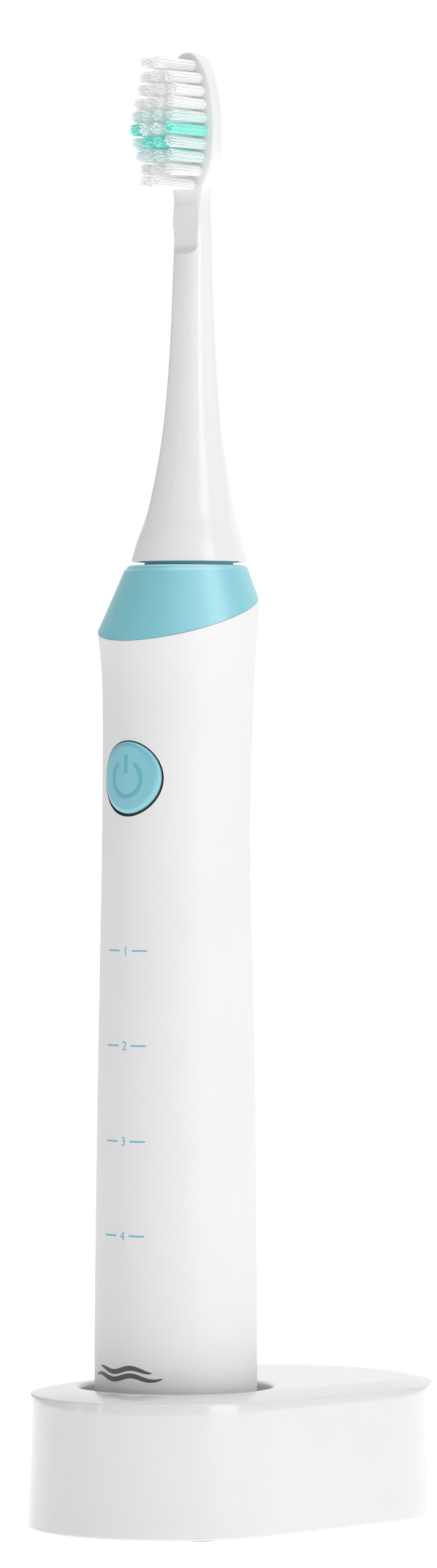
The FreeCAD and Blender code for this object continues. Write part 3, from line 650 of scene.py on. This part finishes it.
def outline(inset):
    """The charger's plan: equal steps of direction from the well's axis, met with two arcs and their tangents."""
    lean = math.asin((FRONT_R - REAR_R) / SPACING)
    rf, rr = FRONT_R - inset, REAR_R - inset
    pts = []
    for k in range(AROUND):
        a = TAU * k / AROUND
        d = np.array([math.cos(a), math.sin(a)])
        reach = 0.0
        for cy, r in ((FRONT_Y, rf), (REAR_Y, rr)):
            o = np.array([0.0, HY - cy])
            b = o @ d
            disc = b * b - (o @ o - r * r)
            if disc > 0:
                ny = (o + d * (-b + math.sqrt(disc)))[1] / r
                on_arc = ny >= math.sin(lean) - 1e-6 if cy == REAR_Y else ny <= math.sin(lean) + 1e-6
                if on_arc:
                    reach = max(reach, -b + math.sqrt(disc))
        if reach == 0.0:
            side = 1 if d[0] > 0 else -1
            p0 = np.array([side * rf * math.cos(lean), FRONT_Y + rf * math.sin(lean)])
            p1 = np.array([side * rr * math.cos(lean), REAR_Y + rr * math.sin(lean)])
            e = p1 - p0
            m = np.array([[d[0], -e[0]], [d[1], -e[1]]])
            reach = float(np.linalg.solve(m, p0 - np.array([0.0, HY]))[0])
        pts.append((reach * d[0], HY + reach * d[1]))
    return np.array(pts)


def make_charger():
    foot_r, edge, lip_r, corner_r = 0.5, 0.45, 0.9, 0.8  # foot, top edge, well's lip and well's lower corner
    a = TAU * np.arange(AROUND) / AROUND
    c, s = np.cos(a), np.sin(a)

    def level(inset, z):
        return np.c_[outline(inset), np.full(AROUND, z)]

    rim_z = SHELL_Z + RIM_H
    rows = [level(WALL + 0.4, SHELL_Z + 9.0), level(WALL, SHELL_Z), level(foot_r, SHELL_Z)]
    for sin, cos in sweep(30, 90, 3):
        rows.append(level(foot_r * (1 - sin), SHELL_Z + foot_r * (1 - cos)))
    for share in np.linspace(0.1, 1.0, 14):
        h = foot_r + share * (RIM_H - foot_r - edge)
        rows.append(level(DRAFT * h / RIM_H, SHELL_Z + h))
    for sin, cos in sweep(10, 84, 8):
        rows.append(level(DRAFT + edge * (1 - cos), rim_z - edge * (1 - sin)))
    rim = outline(DRAFT + edge)
    hole = ring(WELL_R + lip_r, c, s, HY, 0)[:, :2]
    gap = np.linalg.norm(rim - hole, axis=1)
    for share in np.concatenate([np.linspace(0.02, 0.3, 12), np.linspace(0.34, 1, 16)]):
        d = np.clip((gap * share + edge * 0.2) / CROWN_W, 0, 1)
        rows.append(np.c_[rim * (1 - share) + hole * share, rim_z + CROWN_H * (1 - (1 - d) ** 2)])
    z_top = rows[-1][:, 2]
    for sin, cos in sweep(12, 90, 7):
        rows.append(ring(WELL_R + lip_r * (1 - sin), c, s, HY, z_top - lip_r * (1 - cos)))
    well = [(WELL_R, 6.0), (WELL_R, corner_r)]
    well += [(WELL_R - corner_r + corner_r * cos, corner_r + corner_r * sin) for sin, cos in sweep(-20, -90, 4)]
    rows += [ring(r, c, s, HY, SEAT_Z + h) for r, h in well + POST]
    verts, faces = rows_to_mesh(rows, cap_last=True)
    obj = add_mesh("charger_shell_skin", verts, faces, MATS["gloss_white"], "charger", "gloss_white", angle=50)
    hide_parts("charger_shell")


make_charger()


# ---------------------------------------------------------------- studio
# the ground and the background are brighter to the camera than to the object
GROUND_LIGHT, GROUND_SEEN = 0.56, 0.74
AMBIENT, REAR_ZONE = 0.25, 0.95
ZONE_EDGE, ZONE_FULL = 0.64, 0.74  # cosines of the angle from the zone's middle
LIGHT_AIM_HEIGHT = 0.12
bpy.ops.mesh.primitive_plane_add(size=16, location=(0, 0, 0))
floor = bpy.context.object
floor.name = "studio_floor"
paint = material(
    "floor_paint", (0.90, 0.90, 0.90), 0.6, vary=0.004, grain=200, bump=0.0, rough_vary=0.02, blotch=6.0
)
tree = paint.node_tree
shader = tree.nodes["Principled BSDF"]
shader.inputs["Emission Color"].default_value = WHITE
floor_path = tree.nodes.new("ShaderNodeLightPath")
glow = tree.nodes.new("ShaderNodeMapRange")
glow.inputs["To Min"].default_value = GROUND_LIGHT
glow.inputs["To Max"].default_value = GROUND_SEEN
tree.links.new(floor_path.outputs["Is Camera Ray"], glow.inputs["Value"])
tree.links.new(glow.outputs["Result"], shader.inputs["Emission Strength"])
floor.data.materials.append(paint)

AZIMUTH = math.radians(41.0)  # of the photograph's view, from the front
to_cam = Vector((math.sin(AZIMUTH), -math.cos(AZIMUTH), 0))
right = Vector((math.cos(AZIMUTH), math.sin(AZIMUTH), 0))
axis = Vector((0, HY * MM, 0))

# the world: dim all round, with a bright zone above and behind
world = bpy.data.worlds.new("studio")
bpy.context.scene.world = world
world.use_nodes = True
nt = world.node_tree
back = nt.nodes["Background"]
back.inputs["Color"].default_value = WHITE
coord = nt.nodes.new("ShaderNodeTexCoord")
dot = nt.nodes.new("ShaderNodeVectorMath")
dot.operation = "DOT_PRODUCT"
dot.inputs[1].default_value = tuple((right * 0.2 - to_cam + Vector((0, 0, 1.0))).normalized())
rear = nt.nodes.new("ShaderNodeMapRange")
rear.interpolation_type = "SMOOTHSTEP"
rear.inputs["From Min"].default_value = ZONE_EDGE
rear.inputs["From Max"].default_value = ZONE_FULL
rear.inputs["To Min"].default_value = AMBIENT
rear.inputs["To Max"].default_value = REAR_ZONE
path = nt.nodes.new("ShaderNodeLightPath")
top = nt.nodes.new("ShaderNodeMath")
top.operation = "MAXIMUM"
nt.links.new(coord.outputs["Generated"], dot.inputs[0])
nt.links.new(dot.outputs["Value"], rear.inputs["Value"])
nt.links.new(rear.outputs["Result"], top.inputs[0])
nt.links.new(path.outputs["Is Camera Ray"], top.inputs[1])
nt.links.new(top.outputs["Value"], back.inputs["Strength"])


def softbox(name, direction, distance, height, size, power):
    """A rectangular light that faces the handle."""
    light = bpy.data.lights.new(name, "AREA")
    light.shape = "RECTANGLE"
    light.size, light.size_y = size
    light.energy = power
    obj = bpy.data.objects.new(name, light)
    bpy.context.scene.collection.objects.link(obj)
    obj.location = axis + direction.normalized() * distance + Vector((0, 0, height))
    aim = axis + Vector((0, 0, LIGHT_AIM_HEIGHT))
    obj.rotation_euler = (aim - obj.location).to_track_quat("-Z", "Y").to_euler()


softbox("key", to_cam * 0.72 + right * 0.69, 1.3, 0.5, (0.6, 1.0), 4.7)
softbox("strip", to_cam * 0.515 - right * 0.857, 1.25, 0.1, (0.055, 1.5), 0.65)
softbox("side_strip", to_cam * 0.17 - right * 0.985, 1.25, 0.1, (0.1, 1.5), 0.5)
softbox("high", to_cam * 0.5 + right * 0.87, 0.85, 1.15, (0.5, 0.5), 1.6)
softbox("top", to_cam * 0.2 + right * 0.1, 0.25, 1.7, (1.6, 1.6), 12.0)

CAM_DISTANCE, CAM_RIGHT, CAM_HEIGHT, AIM_HEIGHT = 1.187, 0.0071, 0.1316, 0.1241
cam_data = bpy.data.cameras.new("camera")
cam_data.lens = 163.6
cam_data.sensor_width = 36.0
cam_data.sensor_fit = "AUTO"
cam_data.clip_end = 50
cam = bpy.data.objects.new("camera", cam_data)
bpy.context.scene.collection.objects.link(cam)
cam.location = axis + to_cam * CAM_DISTANCE + right * CAM_RIGHT + Vector((0, 0, CAM_HEIGHT))
aim = axis + right * CAM_RIGHT + Vector((0, 0, AIM_HEIGHT))
cam.rotation_euler = (aim - cam.location).to_track_quat("-Z", "Y").to_euler()
bpy.context.scene.camera = cam
bpy.context.scene.view_settings.view_transform = "Standard"
